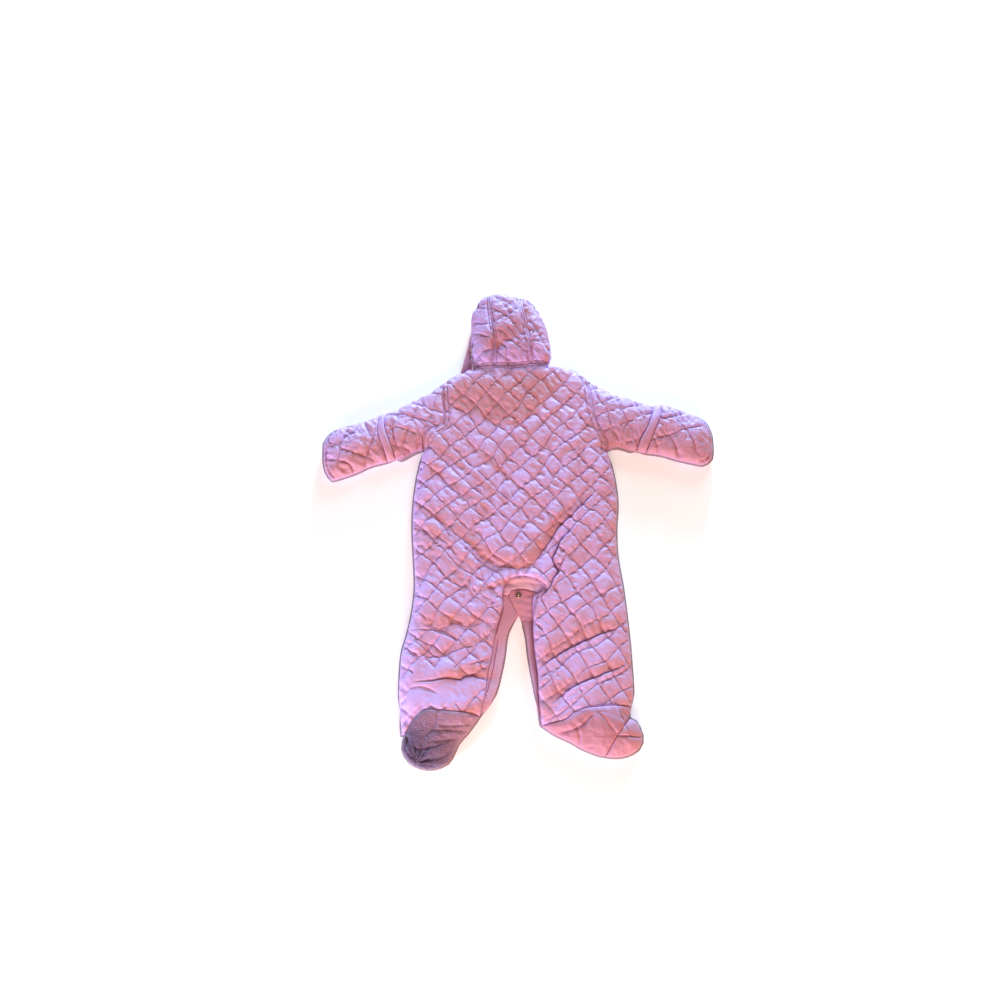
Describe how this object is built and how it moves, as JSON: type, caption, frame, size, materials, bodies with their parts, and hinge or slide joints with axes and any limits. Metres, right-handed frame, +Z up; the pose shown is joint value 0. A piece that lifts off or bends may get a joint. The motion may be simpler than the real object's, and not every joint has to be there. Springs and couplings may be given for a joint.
{
  "type": "baby snowsuit",
  "caption": "Diamond-quilted, hooded baby snowsuit with sewn feet and fold-over mitts, laid flat on its front with the back upwards.",
  "frame": {"origin": "on the surface the suit lies on, under the middle of its outline", "axes": "+Z up from the surface, +Y from the feet to the hood, +X to the right seen from above"},
  "size_m": [0.6178, 0.7616, 0.0409],
  "materials": {
    "quilted_satin": "rose pink satin-faced nylon, quilted in diamonds over wadding",
    "plain_cotton": "plain salmon pink woven facing",
    "ribbed_tape": "pale pink ribbed tape with an overlocked edge",
    "velour": "napped dusky mauve sole cloth",
    "snap_metal": "stamped ring-snap stud"
  },
  "bodies": {
    "root": {"back": "quilted_satin", "front_left": "quilted_satin", "front_right": "quilted_satin", "hood_centre": "quilted_satin", "hood_left": "quilted_satin", "hood_right": "quilted_satin", "hood_flap": "quilted_satin", "sleeve_left": "quilted_satin", "sleeve_right": "quilted_satin", "band_left": "quilted_satin", "band_right": "quilted_satin", "mitt_left": "quilted_satin", "mitt_right": "quilted_satin", "palm_left": "quilted_satin", "palm_right": "quilted_satin", "crotch_facing": "plain_cotton", "crotch_tongue": "plain_cotton", "snap_stud": "snap_metal", "tape_left": "ribbed_tape", "tape_right": "ribbed_tape", "sole_left": "velour", "sole_right": "quilted_satin", "toe_right": "quilted_satin", "instep_left": "quilted_satin", "instep_right": "quilted_satin"}
  },
  "joints": []
}
